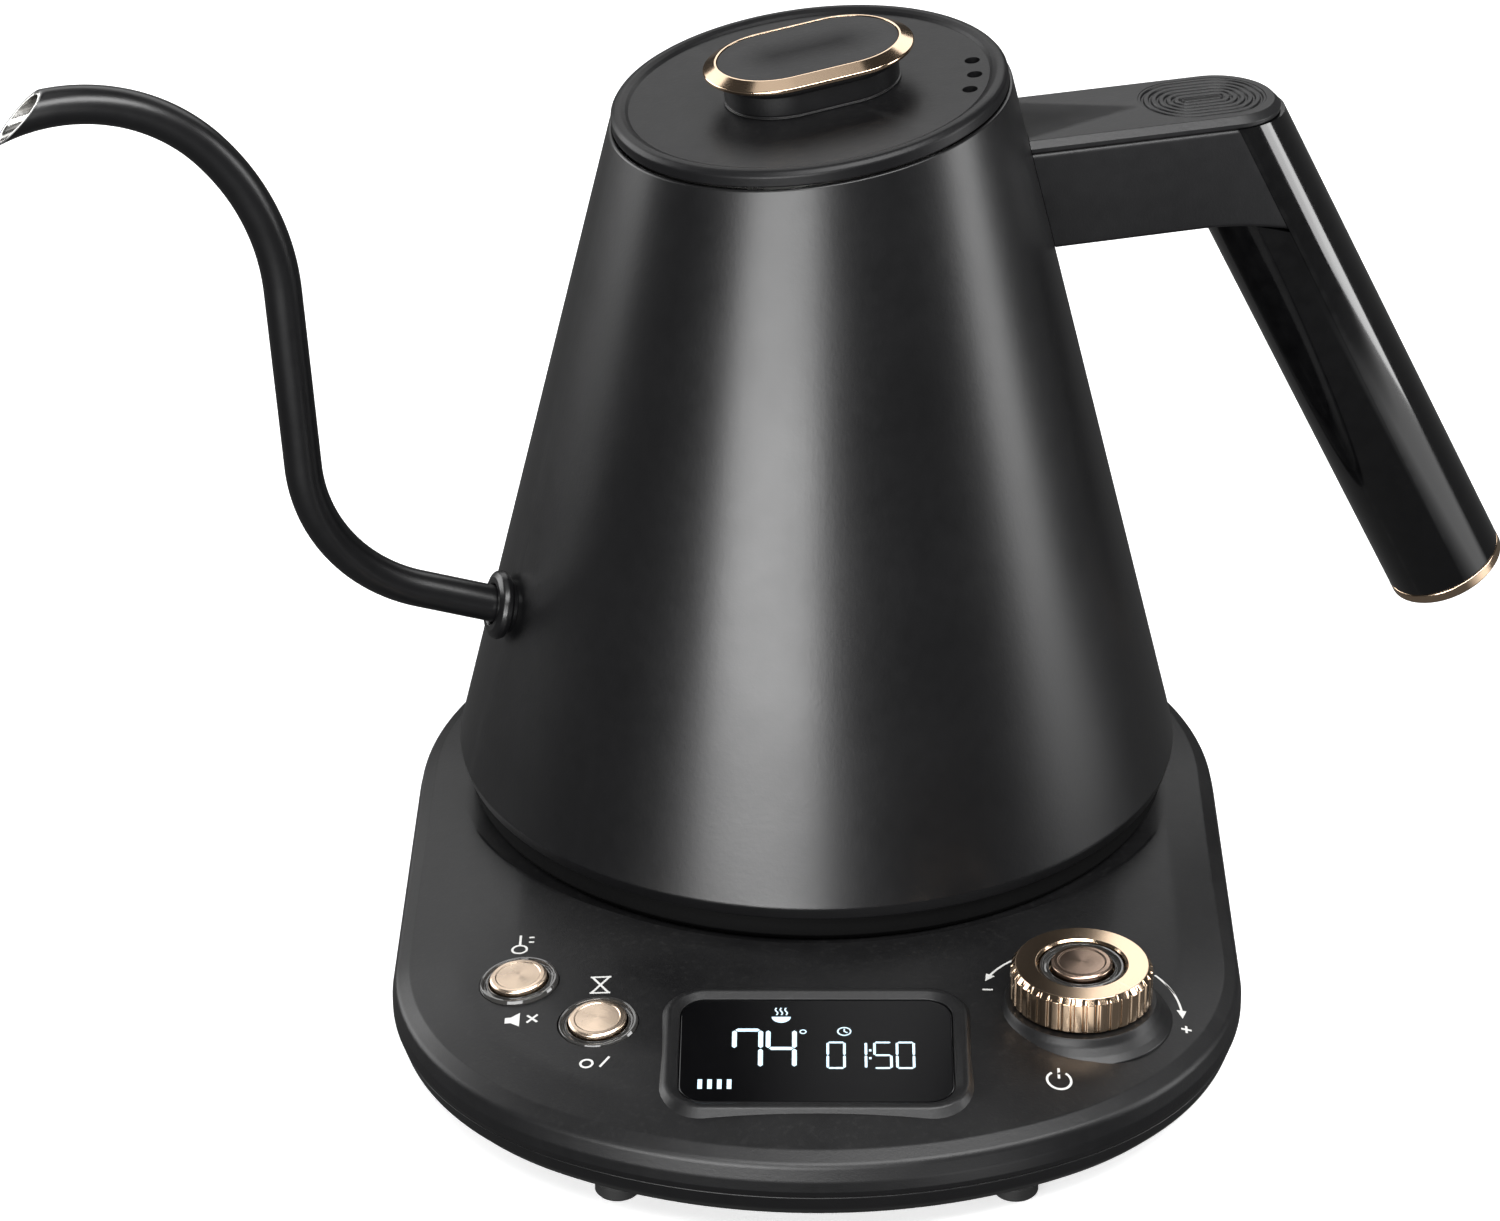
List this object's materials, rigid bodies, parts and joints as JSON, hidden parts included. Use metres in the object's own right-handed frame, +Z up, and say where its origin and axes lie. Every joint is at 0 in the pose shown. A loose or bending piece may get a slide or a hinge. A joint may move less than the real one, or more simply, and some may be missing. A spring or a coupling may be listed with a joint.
{
  "type": "electric gooseneck kettle",
  "caption": "Cone-shaped gooseneck electric kettle with a slanted lid and a sloping grip, on a power base with a display, a dial and two buttons.",
  "frame": {"origin": "centre of the whole part's bounding box, on the surface that the feet stand on", "axes": "+X to the right as the display is read, -Y towards the user, +Z up"},
  "size_m": [0.2944, 0.2233, 0.1888],
  "materials": {
    "body_coat": "satin black powder coat",
    "black_plastic": "fine matt moulded plastic",
    "gloss_plastic": "polished black plastic",
    "gold_metal": "champagne gold plating",
    "spun_gold": "spun champagne gold",
    "steel": "brushed stainless steel",
    "cast_aluminium": "plain cast aluminium",
    "contact_brass": "bare brass",
    "silicone": "soft translucent silicone",
    "rubber": "matt rubber",
    "smoked_glass": "smoked display window",
    "clear_plastic": "clear light ring",
    "board": "green solder mask",
    "part_black": "component case",
    "screw_steel": "zinc plated screw"
  },
  "bodies": {
    "power_base": {"base_top_cover": "black_plastic", "base_bottom_cover": "black_plastic", "base_feet": "rubber", "base_screws": "screw_steel", "connector_post": "black_plastic", "post_contacts": "contact_brass", "power_board": "board", "mains_relay": "part_black", "buzzer": "part_black", "control_board": "board", "button_board": "board", "tact_switches": "part_black", "dial_encoder": "screw_steel", "dial_collar": "black_plastic", "cord_gland": "rubber", "display_lens": "smoked_glass", "display_module": "part_black", "temp_button_ring": "clear_plastic", "hold_button_ring": "clear_plastic"},
    "kettle_connector": {"kettle_socket": "black_plastic"},
    "kettle": {"kettle_shell": "body_coat", "neck_ring": "steel", "kettle_floor": "steel", "heat_plate": "cast_aluminium", "heating_element": "steel", "element_terminals": "contact_brass", "temp_probe": "steel", "probe_seal": "silicone", "thermal_cutouts": "part_black", "kettle_skirt": "black_plastic", "skirt_screws": "screw_steel", "spout_tube": "body_coat", "spout_flange": "body_coat", "handle_bracket": "steel", "handle_arm": "black_plastic", "arm_cap": "black_plastic", "handle_grip": "gloss_plastic", "grip_ring": "gold_metal", "grip_end_cap": "black_plastic", "grip_end_screw": "screw_steel", "handle_screws": "screw_steel"},
    "lid": {"lid_cover": "body_coat", "lid_plug": "steel", "lid_gasket": "silicone", "knob_stem": "black_plastic", "knob_ring": "gold_metal", "knob_insert": "black_plastic", "lid_screws": "screw_steel"},
    "dial": {"dial_knob": "gold_metal", "dial_window": "clear_plastic"},
    "start_key": {"start_button": "spun_gold"},
    "temp_key": {"temp_button": "spun_gold"},
    "hold_key": {"hold_button": "spun_gold"}
  },
  "joints": [
    {"name": "kettle_lift", "type": "slide", "parent": "power_base", "child": "kettle_connector", "axis": [0, 0, 1], "range_m": [0, 0.06]},
    {"name": "kettle_swivel", "type": "hinge", "parent": "kettle_connector", "child": "kettle", "pos_m": [0.00345, 0.0296, 0.0315], "axis": [0, 0, 1], "continuous": true},
    {"name": "lid_lift", "type": "slide", "parent": "kettle", "child": "lid", "axis": [-0.1199, -0.0366, 0.9921], "range_m": [0, 0.04]},
    {"name": "dial_turn", "type": "hinge", "parent": "power_base", "child": "dial", "pos_m": [0.05325, -0.0659, 0.03], "axis": [0, 0, 1], "continuous": true},
    {"name": "start_press", "type": "slide", "parent": "dial", "child": "start_key", "axis": [0, 0, -1], "range_m": [0, 0.0008], "stiffness_N_per_m": 500},
    {"name": "temp_press", "type": "slide", "parent": "power_base", "child": "temp_key", "axis": [0.1145, 0.0418, -0.9925], "range_m": [0, 0.0008], "stiffness_N_per_m": 500},
    {"name": "hold_press", "type": "slide", "parent": "power_base", "child": "hold_key", "axis": [0.0762, 0.0951, -0.9925], "range_m": [0, 0.0008], "stiffness_N_per_m": 500}
  ]
}
